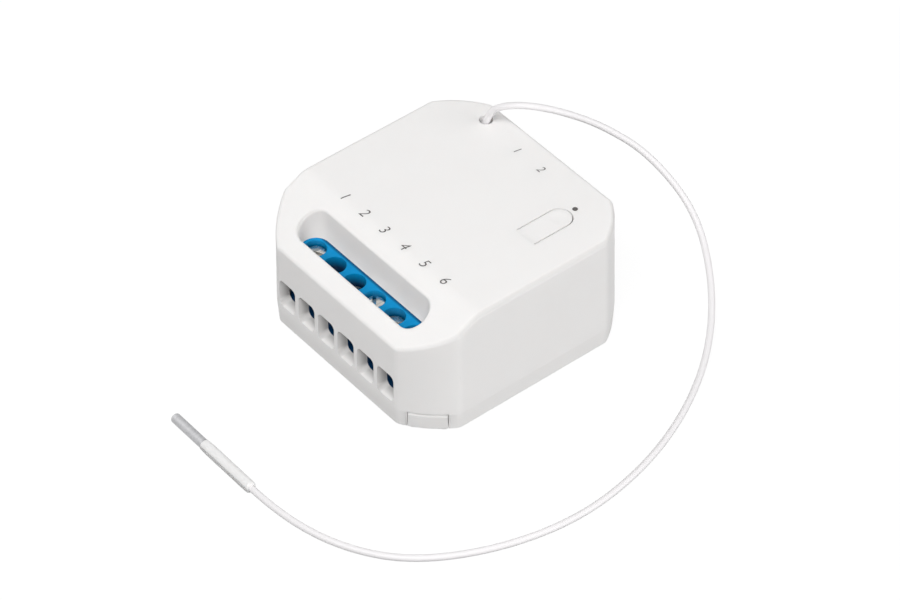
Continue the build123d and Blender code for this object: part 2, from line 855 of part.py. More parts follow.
def power_board():
    """Lower board, the shape of the housing's inside."""
    outline = cut_square(wall + board_edge_gap, inner_round)
    board = Pos(0, 0, board_bottom) * extrude(outline, power_board_thickness)
    for x, y in component_pins:
        radius = pin_width / sqrt(2) + pin_hole_gap
        board -= drill_hole(x, y, board_bottom - wall, board_top + wall, radius)
    for x, y in terminal_pins:
        radius = terminal_pin_width / sqrt(2) + pin_hole_gap
        board -= drill_hole(x, y, board_bottom - wall, board_top + wall, radius)
    return board


def logic_board():
    """Upper board with its back corners cut."""
    half = logic_board_width / 2
    low = (-half, logic_front, logic_bottom)
    high = (half, logic_back, logic_top)
    board = box_between(low, high)
    board = chamfer(upright_edges(board).group_by(Axis.Y)[-1], logic_board_corner)
    for x, y in header_places:
        radius = pin_width / sqrt(2) + pin_hole_gap
        board -= drill_hole(x, y, logic_bottom - wall, logic_top + wall, radius)
    return board


nodes["power_board"] = power_board()
nodes["logic_board"] = logic_board()

# Radio parts on the logic board

wifi_width = 17.0
wifi_board_thickness = 0.8
shield_inset = 1.0
shield_antenna_strip = 4.5
shield_height = 2.0
shield_round = 0.6
radio_front_gap = 0.8
radio_side_gap = 3.4
receiver_peg_gap = 1.6
receiver_depth = 9.0
receiver_gap = 1.0
chip_side = 4.0
chip_height = 0.9
crystal_length = 5.0
crystal_width = 3.2
crystal_height = 1.2
driver_chip_length = 5.0
driver_chip_width = 4.0
driver_chip_height = 1.6
driver_led_gap = 5.9

wifi_left = -logic_board_width / 2 + radio_side_gap
wifi_front = logic_front + radio_front_gap
wifi_top = logic_top + wifi_board_thickness
driver_chip_back = led_row_y - driver_led_gap
driver_chip_front = driver_chip_back - driver_chip_width
wifi_depth = driver_chip_front - row_gap - wifi_front
receiver_left = wifi_left + wifi_width + receiver_gap
receiver_width = logic_board_width / 2 - peg_diameter - receiver_peg_gap - receiver_left


def wifi_board():
    """Castellated radio module board."""
    low = (wifi_left, wifi_front, logic_top)
    return box_between(low, (wifi_left + wifi_width, wifi_front + wifi_depth, wifi_top))


def wifi_shield():
    """Pressed shield can on the radio module."""
    low = (wifi_left + shield_antenna_strip, wifi_front + shield_inset, wifi_top)
    back = wifi_front + wifi_depth - shield_inset
    high = (wifi_left + wifi_width - shield_inset, back, wifi_top + shield_height)
    can = box_between(low, high)
    can = fillet(upright_edges(can), shield_round)
    return chamfer(can.edges().group_by(Axis.Z)[-1], shield_round / 2)


def receiver_board():
    """Small receiver board with its chip."""
    high = (receiver_left + receiver_width, wifi_front + receiver_depth, wifi_top)
    board = box_between((receiver_left, wifi_front, logic_top), high)
    chip_x = receiver_left + receiver_width / 2
    chip_y = wifi_front + chip_side / 2 + row_gap
    chip_low = (chip_x - chip_side / 2, chip_y - chip_side / 2, wifi_top)
    chip_high = (chip_x + chip_side / 2, chip_y + chip_side / 2, wifi_top + chip_height)
    return board + box_between(chip_low, chip_high)


def receiver_crystal():
    """Metal crystal can on the receiver board."""
    left = receiver_left + (receiver_width - crystal_length) / 2
    back = wifi_front + receiver_depth - row_gap
    low = (left, back - crystal_width, wifi_top)
    can = box_between(low, (left + crystal_length, back, wifi_top + crystal_height))
    return fillet(upright_edges(can), case_round)


def driver_chip():
    """Relay driver in a flat chip case."""
    left = wifi_left + shield_antenna_strip
    front = wifi_front + wifi_depth + row_gap
    high = (left + driver_chip_length, front + driver_chip_width, logic_top + driver_chip_height)
    return box_between((left, front, logic_top), high)


nodes["wifi_board"] = wifi_board()
nodes["wifi_shield"] = wifi_shield()
nodes["receiver_board"] = receiver_board()
nodes["receiver_crystal"] = receiver_crystal()
nodes["driver_chip"] = driver_chip()

# Push switch under the pairing button, and the two indicator lights

switch_side = 6.0
plunger_diameter = 3.4
plunger_show = 0.9
plunger_sink = 1.0
plunger_travel_room = 0.5
led_length = 2.0
led_width = 1.25
led_base_height = 0.4
led_lens_height = 0.6
led_lens_share = 0.6

boss_bottom = body_height - button_thickness - button_boss_reach
plunger_top = boss_bottom - button_play
switch_top = plunger_top - plunger_show
plunger_bottom = switch_top - plunger_sink


def switch_base():
    """Square switch case with a round well for its plunger."""
    half = switch_side / 2
    low = (button_x - half, button_round_y - half, logic_top)
    case = box_between(low, (button_x + half, button_round_y + half, switch_top))
    case = fillet(upright_edges(case), case_round)
    well_bottom = plunger_bottom - plunger_travel_room
    well_radius = plunger_diameter / 2 + running_gap
    return case - rod_up(button_x, button_round_y, well_bottom, body_height, well_radius)


def indicator(x):
    """Surface-mounted light: flat base with a clear lens block."""
    half = led_length / 2
    depth = led_width / 2
    top = logic_top + led_base_height
    base = box_between((x - half, led_row_y - depth, logic_top), (x + half, led_row_y + depth, top))
    lens_half = half * led_lens_share
    lens_low = (x - lens_half, led_row_y - depth, logic_top)
    return base + box_between(lens_low, (x + lens_half, led_row_y + depth, top + led_lens_height))


nodes["tact_switch_base"] = switch_base()
nodes["tact_plunger"] = rod_up(button_x, button_round_y, plunger_bottom, plunger_top, plunger_diameter / 2)
for number, x in enumerate(led_places, start=1):
    nodes[f"led_{number}"] = indicator(x)

# Antenna lead: socket and plug on the logic board, then a thin round cable that leaves
# through the lid, arches over the back edge and lies round the module in a wide loop

lead_diameter = 1.13
socket_side = 3.0
socket_height = 1.0
plug_diameter = 2.8
plug_height = 1.2
plug_side_gap = 2.5
plug_back_gap = 9.9
lead_lift = 1.6
lead_straight = 6.0
lead_rise = 3.125
lead_rise_side = 0.875
lead_rise_depth = 0.25
plug_x = -logic_board_width / 2 + plug_side_gap
plug_y = logic_back - plug_back_gap
lead_z = logic_top + lead_lift
lead_inside_points = (
    (plug_x, plug_y, lead_z),
    (plug_x, plug_y + lead_straight, lead_z),
    (antenna_hole_x - lead_rise_side, antenna_hole_y - lead_rise_depth, body_height - lead_rise),
    (antenna_hole_x, antenna_hole_y, body_height),
)
lead_points = (
    (-12.4, 18.6, 22.3),
    (-11.7, 18.8, 24.8),
    (-9.3, 19.4, 26.9),
    (-6.2, 22.0, 27.7),
    (-3.4, 26.8, 25.6),
    (-0.2, 32.9, 21.3),
    (5.0, 38.6, 15.5),
    (14.5, 40.5, 8.6),
    (25.0, 35.0, 3.9),
    (34.5, 26.0, 1.3),
    (42.0, 14.3, 0.6),
    (47.0, 1.2, 0.6),
    (48.8, -12.8, 0.6),
    (46.0, -26.5, 0.6),
    (39.5, -38.5, 0.6),
    (30.4, -45.1, 0.6),
    (19.5, -48.3, 1.0),
    (12.2, -48.3, 1.0),
)
radius_share = 0.45


def bend_radii(points):
    """Largest even radius that each corner's two runs allow."""
    places = [Vector(*point) for point in points]
    radii = []
    for before, here, after in zip(places, places[1:], places[2:]):
        run_in = here - before
        run_out = after - here
        turn = radians(run_in.get_angle(run_out))
        radii.append(radius_share * min(run_in.length, run_out.length) / tan(turn / 2))
    return radii


def round_lead(points, name):
    """Round cable along straight runs joined by tangent arcs."""
    radii = bend_radii(points)
    path = FilletPolyline(*points, radius=radii)
    start = Plane(origin=path @ 0, z_dir=path % 0)
    tube = sweep(start * Circle(lead_diameter / 2), path=path)
    expected = pi * lead_diameter * lead_diameter / 4 * path.length
    print(name, "radii", [round(radius, 1) for radius in radii])
    print(name, "length", round(path.length, 2), "volume share", round(tube.volume / expected, 5))
    return tube


def antenna_socket():
    """Coaxial socket soldered to the logic board."""
    half = socket_side / 2
    base_top = logic_top + socket_height / 2
    base = box_between((plug_x - half, plug_y - half, logic_top), (plug_x + half, plug_y + half, base_top))
    return base + rod_up(plug_x, plug_y, logic_top, logic_top + socket_height, half / 2)


def antenna_plug():
    """Round snap plug with a crimp that holds the cable."""
    bottom = logic_top + socket_height / 2
    top = logic_top + socket_height + plug_height
    can = rod_up(plug_x, plug_y, bottom, top, plug_diameter / 2)
    can -= rod_up(plug_x, plug_y, bottom, logic_top + socket_height, socket_side / 4 + running_gap)
    bore = Cylinder(lead_diameter / 2, plug_diameter, align=(Align.CENTER, Align.CENTER, Align.MIN))
    return can - Pos(*lead_inside_points[0]) * Rot(-90, 0, 0) * bore


nodes["antenna_socket"] = antenna_socket()
nodes["antenna_plug"] = antenna_plug()
nodes["antenna_lead_inside"] = round_lead(lead_inside_points, "antenna_lead_inside")
nodes["antenna_lead"] = round_lead(lead_points, "antenna_lead")

# Bare end of the lead in a clear sleeve, with a metal tube on its tip

sleeve_diameter = 2.0
sleeve_length = 12.2
sleeve_bore_gap = 0.1
tube_diameter = 1.7
tube_length = 7.8
tube_bore_gap = 0.1
core_end_gap = 0.8
sleeve_shoulder = 0.3
sleeve_taper_length = 1.0
sleeve_taper_gap = 0.05

lead_end = Vector(*lead_points[-1])
sleeve_end_x = lead_end.X - sleeve_length
tube_end_x = sleeve_end_x - tube_length


def rod_along(start_x, end_x, diameter):
    """Round rod along X through the lead's end."""
    length = start_x - end_x
    rod = Cylinder(diameter / 2, length, align=(Align.CENTER, Align.CENTER, Align.MAX))
    return Pos(start_x, lead_end.Y, lead_end.Z) * Rot(0, 90, 0) * rod


def antenna_sleeve():
    """Shrink sleeve with a rounded shoulder, drawn in over the tube's end."""
    bore = lead_diameter / 2 + sleeve_bore_gap
    outer = sleeve_diameter / 2
    neck = tube_diameter / 2 + sleeve_taper_gap
    taper = sleeve_length - sleeve_taper_length
    profile = Polyline(
        (bore, 0), (outer - sleeve_shoulder, 0), (outer, sleeve_shoulder), (outer, taper),
        (neck, sleeve_length), (bore, sleeve_length), close=True)
    tube = revolve(Plane.XZ * make_face(profile), Axis.Z)
    return Pos(*lead_end) * Rot(0, -90, 0) * tube


def antenna_tip_tube():
    """Metal tube with a round closed end, bored for the lead's core."""
    dome = tube_diameter / 2
    tube = rod_along(sleeve_end_x, tube_end_x + dome, tube_diameter)
    tube += Pos(tube_end_x + dome, lead_end.Y, lead_end.Z) * Sphere(dome)
    return tube - rod_along(sleeve_end_x + wall, tube_end_x + core_end_gap, lead_diameter + tube_bore_gap * 2)


nodes["antenna_core"] = rod_along(lead_end.X, tube_end_x + core_end_gap, lead_diameter)
nodes["antenna_sleeve"] = antenna_sleeve()
nodes["antenna_tip_tube"] = antenna_tip_tube()

for name, solid in nodes.items():
    export_step(solid, f"parts/{name}.step")
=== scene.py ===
import math

import bmesh
import bpy
from mathutils import Matrix, Vector


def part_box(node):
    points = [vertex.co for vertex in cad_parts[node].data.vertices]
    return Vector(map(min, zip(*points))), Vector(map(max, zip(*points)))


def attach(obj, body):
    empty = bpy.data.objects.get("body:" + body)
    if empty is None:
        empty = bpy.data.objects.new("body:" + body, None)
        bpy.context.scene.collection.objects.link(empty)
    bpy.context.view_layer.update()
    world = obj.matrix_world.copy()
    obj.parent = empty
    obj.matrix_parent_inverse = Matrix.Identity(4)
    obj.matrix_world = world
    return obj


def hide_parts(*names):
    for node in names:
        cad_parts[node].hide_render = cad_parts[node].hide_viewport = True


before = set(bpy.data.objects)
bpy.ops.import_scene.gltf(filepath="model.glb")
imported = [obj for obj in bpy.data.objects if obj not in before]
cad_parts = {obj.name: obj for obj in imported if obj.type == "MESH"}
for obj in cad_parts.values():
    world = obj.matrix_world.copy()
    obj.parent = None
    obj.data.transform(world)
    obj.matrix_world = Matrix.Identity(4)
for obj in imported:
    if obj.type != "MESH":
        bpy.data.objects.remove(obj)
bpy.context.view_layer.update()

# Camera
# It looks down on the module over its front right corner, from far away, so the
# edges stay nearly parallel.
camera_place = Vector((0.3786, -0.3022, 0.4669))
camera_back = Vector((0.5636, -0.4512, 0.6919))
camera_right = Vector((0.6302, 0.7764, -0.0071))
camera_lens = 167.4
camera_sensor = 36.0
camera_near = 0.01

camera_data = bpy.data.cameras.new("camera")
camera_data.lens = camera_lens
camera_data.sensor_width = camera_sensor
camera_data.sensor_fit = "HORIZONTAL"
camera_data.clip_start = camera_near
camera = bpy.data.objects.new("camera", camera_data)
bpy.context.scene.collection.objects.link(camera)
bpy.context.scene.camera = camera
camera_back.normalize()
camera_up = camera_back.cross(camera_right).normalized()
camera_right = camera_up.cross(camera_back)
turned = Matrix((camera_right, camera_up, camera_back)).transposed().to_4x4()
camera.matrix_world = Matrix.Translation(camera_place) @ turned


# Housing, button and base cover
# All three are moulded in white plastic with a fine even grain. The button is a
# tongue of the lid, and the cover snaps in under the four corners.
plastic_white = (0.905, 0.893, 0.884)
plastic_shade = (0.880, 0.867, 0.858)
plastic_rough = 0.46
plastic_gloss = 0.22
plastic_glow = 0.4
plastic_glow_tint = (1.0, 0.95, 0.93)
plastic_glow_depth = 0.001
grain_size = 2600.0
grain_depth = 0.000012
grain_detail = 3.0
grain_strength = 0.5
cloud_detail = 2.0
usual_cloud = 90.0
usual_spread = 0.06
# Painted shade: a duller colour on the walls of the wire holes, and where it lies
hole_painted_shade = (0.560, 0.552, 0.545)
hole_shade_depth = (-0.0218, -0.0206)
hole_shade_end = (0.0, -0.0148)
hole_shade_side = 0.0148
hole_shade_top = 0.0118
hole_shade_blend = 0.0003
# Painted shade: a duller colour on the rounded edges at the right, by how far they turn
edge_painted_shade = (0.700, 0.690, 0.682)
edge_turn_start = 0.10
edge_turn_full = 0.46


def fine_grain_group():
    """Node group: even moulded grain as a height, and slow cloudy variation as a mask."""
    group = bpy.data.node_groups.new("fine_grain", "ShaderNodeTree")
    group.interface.new_socket("Size", in_out="INPUT", socket_type="NodeSocketFloat")
    group.interface.new_socket("Cloud Size", in_out="INPUT", socket_type="NodeSocketFloat")
    group.interface.new_socket("Height", in_out="OUTPUT", socket_type="NodeSocketFloat")
    group.interface.new_socket("Cloud", in_out="OUTPUT", socket_type="NodeSocketFloat")
    nodes, links = group.nodes, group.links
    given = nodes.new("NodeGroupInput")
    result = nodes.new("NodeGroupOutput")
    place = nodes.new("ShaderNodeTexCoord")
    fine = nodes.new("ShaderNodeTexNoise")
    fine.inputs["Detail"].default_value = grain_detail
    cloud = nodes.new("ShaderNodeTexNoise")
    cloud.inputs["Detail"].default_value = cloud_detail
    for noise, size in ((fine, "Size"), (cloud, "Cloud Size")):
        links.new(place.outputs["Object"], noise.inputs["Vector"])
        links.new(given.outputs[size], noise.inputs["Scale"])
    links.new(fine.outputs["Fac"], result.inputs["Height"])
    links.new(cloud.outputs["Fac"], result.inputs["Cloud"])
    return group


fine_grain = fine_grain_group()


def start_material(name, roughness):
    """New material with its shader, ready for nodes."""
    material = bpy.data.materials.new(name)
    material.use_nodes = True
    shader = material.node_tree.nodes["Principled BSDF"]
    shader.inputs["Roughness"].default_value = roughness
    return material, shader


def grained(
    material, shader, colour, shade, size, depth, cloud_size=usual_cloud, rough_spread=usual_spread
):
    """Colour clouds, a fine bump and a slightly uneven gloss."""
    nodes, links = material.node_tree.nodes, material.node_tree.links
    grain = nodes.new("ShaderNodeGroup")
    grain.node_tree = fine_grain
    grain.inputs["Size"].default_value = size
    grain.inputs["Cloud Size"].default_value = cloud_size
    mix = nodes.new("ShaderNodeMix")
    mix.data_type = "RGBA"
    mix.inputs["A"].default_value = (*colour, 1.0)
    mix.inputs["B"].default_value = (*shade, 1.0)
    links.new(grain.outputs["Cloud"], mix.inputs["Factor"])
    links.new(mix.outputs["Result"], shader.inputs["Base Color"])
    gloss = nodes.new("ShaderNodeMapRange")
    rough = shader.inputs["Roughness"].default_value
    gloss.inputs["To Min"].default_value = rough - rough_spread
    gloss.inputs["To Max"].default_value = rough + rough_spread
    links.new(grain.outputs["Cloud"], gloss.inputs["Value"])
    links.new(gloss.outputs["Result"], shader.inputs["Roughness"])
    bump = nodes.new("ShaderNodeBump")
    bump.inputs["Strength"].default_value = grain_strength
    bump.inputs["Distance"].default_value = depth
    links.new(grain.outputs["Height"], bump.inputs["Height"])
    links.new(bump.outputs["Normal"], shader.inputs["Normal"])
    return mix


def dress(node, material):
    """Gives a CAD node its finished material."""
    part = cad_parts[node]
    for holder in part.material_slots:
        holder.material = material
    if not part.material_slots:
        part.data.materials.append(material)


def moulded_white(name, glow):
    """White moulded housing plastic, which lets a share of the light in."""
    material, shader = start_material(name, plastic_rough)
    grained(material, shader, plastic_white, plastic_shade, grain_size, grain_depth)
    shader.inputs["Specular IOR Level"].default_value = plastic_gloss
    shader.inputs["Subsurface Weight"].default_value = glow
    shader.inputs["Subsurface Radius"].default_value = plastic_glow_tint
    shader.inputs["Subsurface Scale"].default_value = plastic_glow_depth
    return material


def place_mask(material, axis, start, end):
    """Mask that rises from 0 to 1 between two places along one axis."""
    nodes, links = material.node_tree.nodes, material.node_tree.links
    place = nodes.new("ShaderNodeTexCoord")
    split = nodes.new("ShaderNodeSeparateXYZ")
    ramp = nodes.new("ShaderNodeMapRange")
    ramp.inputs["From Min"].default_value = start
    ramp.inputs["From Max"].default_value = end
    links.new(place.outputs["Object"], split.inputs["Vector"])
    links.new(split.outputs[axis], ramp.inputs["Value"])
    return ramp.outputs["Result"]


def tinted(material, below, tint, mask):
    """Mixes a colour towards another one where a mask is high."""
    nodes, links = material.node_tree.nodes, material.node_tree.links
    blend = nodes.new("ShaderNodeMix")
    blend.data_type = "RGBA"
    blend.inputs["B"].default_value = (*tint, 1.0)
    links.new(mask, blend.inputs["Factor"])
    links.new(below, blend.inputs["A"])
    return blend.outputs["Result"]


def all_masks(material, masks):
    """Product of several masks."""
    nodes, links = material.node_tree.nodes, material.node_tree.links
    result = masks[0]
    for mask in masks[1:]:
        product = nodes.new("ShaderNodeMath")
        product.operation = "MULTIPLY"
        links.new(result, product.inputs[0])
        links.new(mask, product.inputs[1])
        result = product.outputs["Value"]
    return result


white_plastic = moulded_white("moulded_white", plastic_glow)
for node in ("housing_shell", "pairing_button", "base_cover"):
    dress(node, white_plastic)

# A duller colour on the walls of the wire holes stands in for shade that the lamps
# do not give.
white_shader = white_plastic.node_tree.nodes["Principled BSDF"]
white_skin = white_shader.inputs["Base Color"].links[0].from_socket
hole_masks = [
    place_mask(white_plastic, "Y", *hole_shade_depth),
    place_mask(white_plastic, "Y", *hole_shade_end),
    place_mask(white_plastic, "X", -hole_shade_side - hole_shade_blend, -hole_shade_side),
    place_mask(white_plastic, "X", hole_shade_side + hole_shade_blend, hole_shade_side),
    place_mask(white_plastic, "Z", hole_shade_top + hole_shade_blend, hole_shade_top),
]
hole_shaded_colour = tinted(white_plastic, white_skin, hole_painted_shade, all_masks(white_plastic, hole_masks))

# A duller colour on the rounded edges at the right stands in for softer light there.
edge_nodes, edge_links = white_plastic.node_tree.nodes, white_plastic.node_tree.links
edge_facing = edge_nodes.new("ShaderNodeNewGeometry")
edge_split = edge_nodes.new("ShaderNodeSeparateXYZ")
edge_turn = edge_nodes.new("ShaderNodeMath")
edge_turn.operation = "MULTIPLY"
edge_shade_mask = edge_nodes.new("ShaderNodeMapRange")
edge_shade_mask.inputs["From Min"].default_value = edge_turn_start
edge_shade_mask.inputs["From Max"].default_value = edge_turn_full
edge_links.new(edge_facing.outputs["Normal"], edge_split.inputs["Vector"])
edge_links.new(edge_split.outputs["X"], edge_turn.inputs[0])
edge_links.new(edge_split.outputs["Z"], edge_turn.inputs[1])
edge_links.new(edge_turn.outputs["Value"], edge_shade_mask.inputs["Value"])
edge_shaded_colour = tinted(white_plastic, hole_shaded_colour, edge_painted_shade, edge_shade_mask.outputs["Result"])
edge_links.new(edge_shaded_colour, white_shader.inputs["Base Color"])


def block_piece(name, low, high, material):
    """Small closed block between two corners."""
    shape = bmesh.new()
    bmesh.ops.create_cube(shape, size=1.0)
    mesh = bpy.data.meshes.new(name)
    shape.to_mesh(mesh)
    shape.free()
    size = high - low
    mesh.transform(Matrix.Translation((low + high) / 2) @ Matrix.Diagonal((*size, 1.0)))
    piece = bpy.data.objects.new(name, mesh)
    bpy.context.scene.collection.objects.link(piece)
    mesh.materials.append(material)
    return piece


# The thin web that the button bends on joins its root to the lid.
button_low, button_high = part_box("pairing_button")
web_front = 0.00015
web_back = 0.00010
web_depth = 0.0003
web_rise = 0.000006
web_low = Vector((button_low.x, button_low.y - web_front, button_high.z - web_depth))
web_high = Vector((button_high.x, button_low.y + web_back, button_high.z + web_rise))
thin_plastic = moulded_white("thin_white", 0.0)
web = block_piece("button_web", web_low, web_high, thin_plastic)
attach(web, "housing")


# Edges of the snap slits
# Each corner's snap tongue stands between two hairline slits with small rounded
# mouths. Thin lips along the slits leave these lines, just behind the wall's face.
slit_place = 0.0033
slit_probe = 0.0010
slit_recess = 0.00002
slit_depth = 0.0009
probe_start = 0.045
corner_count = 4
first_corner = 45
corner_step = 90

# Outlines of the two lips, as offsets and heights in millimetres
mm_per_metre = 1000
fixed_lip = (
    (-0.04, 0.30), (0.06, 0.16), (0.22, 0.07), (0.62, 0.03), (0.62, 0.12), (0.40, 0.25),
    (0.25, 0.45), (0.17, 0.75), (0.17, 3.58), (-0.04, 3.58),
)
tongue_lip = (
    (-0.145, 0.76), (-0.145, 0.30), (-0.22, 0.16), (-0.36, 0.07), (-0.66, 0.03), (-0.66, 0.12),
    (-0.44, 0.25), (-0.28, 0.45), (-0.17, 0.75),
)
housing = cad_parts["housing_shell"]


def wall_reach(outward, across, aside, height):
    """Distance from the middle line to the corner's wall face at one place."""
    start = outward * probe_start + across * aside + Vector((0, 0, height))
    hit, place, _, _ = housing.ray_cast(start, -outward)
    return place.dot(outward) if hit else probe_start


def slit_lips(name, quarter, side):
    """Both lips of one slit as thin plates that follow the wall."""
    turn = Matrix.Rotation(math.radians(first_corner + corner_step * quarter), 3, "Z")
    outward, across = turn @ Vector((1, 0, 0)), turn @ Vector((0, 1, 0))
    shape = bmesh.new()
    for outline in (fixed_lip, tongue_lip):
        front, back = [], []
        for offset, height in outline:
            away = slit_place + offset / mm_per_metre
            height = height / mm_per_metre
            near = wall_reach(outward, across, side * (slit_place - slit_probe), height)
            far = wall_reach(outward, across, side * (slit_place + slit_probe), height)
            share = (away - slit_place + slit_probe) / (2 * slit_probe)
            reach = near + (far - near) * share - slit_recess
            foot = across * side * away + Vector((0, 0, height))
            front.append(shape.verts.new(outward * reach + foot))
            back.append(shape.verts.new(outward * (reach - slit_depth) + foot))
        shape.faces.new(front)
        shape.faces.new(list(reversed(back)))
        for first in range(len(front)):
            second = (first + 1) % len(front)
            shape.faces.new((front[second], front[first], back[first], back[second]))
    bmesh.ops.triangulate(shape, faces=shape.faces)
    bmesh.ops.recalc_face_normals(shape, faces=shape.faces)
    mesh = bpy.data.meshes.new(name)
    shape.to_mesh(mesh)
    shape.free()
    piece = bpy.data.objects.new(name, mesh)
    bpy.context.scene.collection.objects.link(piece)
    mesh.materials.append(thin_plastic)
    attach(piece, "housing")


for quarter in range(corner_count):
    for end, side in (("left", -1), ("right", 1)):
        slit_lips(f"slit_lips_{quarter + 1}_{end}", quarter, side)


# Lid print
# Plain numbers stand at the six terminals and the two lights, and a dot at the
# button. They are pad printed in dark grey ink that follows the lid's surface.
ink_colour = (0.075, 0.070, 0.068)
ink_shade = (0.105, 0.098, 0.095)
ink_rough = 0.55
ink_grain_size = 6000.0
ink_grain_depth = 0.000004
ink_cloud = 700.0
ink_height = 0.000015
ink_step = 0.00025
ink_splits = 4
ink_thinnest = 0.0000005
terminal_count = 6
light_count = 2
mark_height = 0.0018
terminal_mark_y = -0.0102
light_mark_height = 0.00145
light_mark_y = 0.0177
mark_slant = 0.2
mark_thinning = 0.00002
figure_share = 0.7
figure_steps = 6
dot_radius = 0.00045
dot_gap = 0.0012
dot_sides = 32

ink, ink_shader = start_material("print_ink", ink_rough)
grained(ink, ink_shader, ink_colour, ink_shade, ink_grain_size, ink_grain_depth, ink_cloud)
lid_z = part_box("housing_shell")[1].z


def on_lid(x, y):
    """Height of the lid's surface at one place."""
    start = Vector((x, y, lid_z + mark_height))
    hit, place, _, _ = housing.ray_cast(start, Vector((0, 0, -1)))
    return place.z if hit else lid_z


def lay_on_lid(name, mesh):
    """Flat print that follows the lid just above its surface."""
    shape = bmesh.new()
    shape.from_mesh(mesh)
    bmesh.ops.triangulate(shape, faces=shape.faces)
    for _ in range(ink_splits):
        long_edges = [edge for edge in shape.edges if edge.calc_length() > ink_step]
        bmesh.ops.subdivide_edges(shape, edges=long_edges, cuts=1)
        bmesh.ops.triangulate(shape, faces=shape.faces)
    for vertex in shape.verts:
        vertex.co.z = on_lid(vertex.co.x, vertex.co.y) + ink_height
    bmesh.ops.dissolve_degenerate(shape, dist=ink_thinnest, edges=shape.edges)
    bmesh.ops.triangulate(shape, faces=shape.faces)
    shape.to_mesh(mesh)
    shape.free()
    mesh.validate()
    piece = bpy.data.objects.new(name, mesh)
    bpy.context.scene.collection.objects.link(piece)
    mesh.materials.clear()
    mesh.materials.append(ink)
    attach(piece, "housing")


def number_mark(name, text, x, y, height):
    """One plain number, read from the terminal side."""
    curve = bpy.data.curves.new(name, "FONT")
    curve.body = text
    curve.size = height / figure_share
    curve.align_x = "CENTER"
    curve.align_y = "CENTER"
    curve.resolution_u = figure_steps
    curve.shear = mark_slant
    curve.offset = -mark_thinning
    holder = bpy.data.objects.new(name, curve)
    mesh = bpy.data.meshes.new_from_object(holder)
    bpy.data.objects.remove(holder)
    mesh.transform(Matrix.Translation((x, y, 0)))
    lay_on_lid(name, mesh)


def middle_of(node):
    """Middle of a CAD node's box."""
    low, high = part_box(node)
    return (low + high) / 2


for number in range(1, terminal_count + 1):
    place = middle_of(f"clamp_screw_{number}")
    number_mark(f"terminal_number_{number}", str(number), place.x, terminal_mark_y, mark_height)
for number in range(1, light_count + 1):
    place = middle_of(f"led_{number}")
    number_mark(f"light_number_{number}", str(number), place.x, light_mark_y, light_mark_height)


def dot_mark(name, x, y, radius):
    """Small round print."""
    shape = bmesh.new()
    bmesh.ops.create_circle(shape, cap_ends=True, radius=radius, segments=dot_sides)
    mesh = bpy.data.meshes.new(name)
    shape.to_mesh(mesh)
    shape.free()
    mesh.transform(Matrix.Translation((x, y, 0)))
    lay_on_lid(name, mesh)


dot_mark("button_dot", (button_low.x + button_high.x) / 2, button_high.y + dot_gap, dot_radius)


# Terminal block
# Blue polyamide block with a driver well and a wire mouth for each pole. It stands
# on the power board behind the front wall.
block_blue = (0.000, 0.255, 0.560)
block_shade = (0.000, 0.225, 0.500)
# Painted shadow along the lid's wall, and painted shade below the block's top
wall_shadow_blue = (0.000, 0.075, 0.180)
cavity_painted_shade = (0.000, 0.022, 0.070)
# A painted grey that the block gives to the light it throws, in place of its blue
bounce_light_grey = (0.60, 0.60, 0.62)
block_rough = 0.34
block_gloss = 0.12
block_grain_size = 3000.0
block_grain_depth = 0.000006
block_cloud = 160.0
slot_back_y = -0.0140
wall_shadow_width = 0.0004
well_dark_start = 0.0001
well_dark_full = 0.0022

block_plastic, block_shader = start_material("block_plastic", block_rough)
block_mix = grained(
    block_plastic, block_shader, block_blue, block_shade, block_grain_size, block_grain_depth, block_cloud
)
block_shader.inputs["Specular IOR Level"].default_value = block_gloss

# Darker blues stand in for deep shade: all of the block below its top, and a strip
# along the lid's wall.
block_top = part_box("terminal_body")[1].z
down_wells = place_mask(block_plastic, "Z", block_top - well_dark_start, block_top - well_dark_full)
by_the_wall = place_mask(block_plastic, "Y", slot_back_y - wall_shadow_width, slot_back_y)
block_colour = tinted(block_plastic, block_mix.outputs["Result"], cavity_painted_shade, down_wells)
block_colour = tinted(block_plastic, block_colour, wall_shadow_blue, by_the_wall)

# Its blue is left out of the light that it throws, so that the slot's walls stay white.
block_path = block_plastic.node_tree.nodes.new("ShaderNodeLightPath")
scattered = block_path.outputs["Is Diffuse Ray"]
block_colour = tinted(block_plastic, block_colour, bounce_light_grey, scattered)
block_plastic.node_tree.links.new(block_colour, block_shader.inputs["Base Color"])
dress("terminal_body", block_plastic)


# Clamp screws, plates and yokes
# Zinc-plated steel. The slotted heads are turned and lightly marked by the driver.
# The folded yokes and flat plates are stamped from strip.
plated_colour = (0.82, 0.81, 0.77)
plated_shade = (0.50, 0.49, 0.47)
plated_rough = 0.24
scratch_stretch = (1.0, 0.08, 1.0)
scratch_detail = 4.0
scratch_low = 0.35
scratch_high = 0.65
scratch_size = 2200.0
scratch_depth = 0.000006
scratch_spread = 0.10
scratch_strength = 0.4


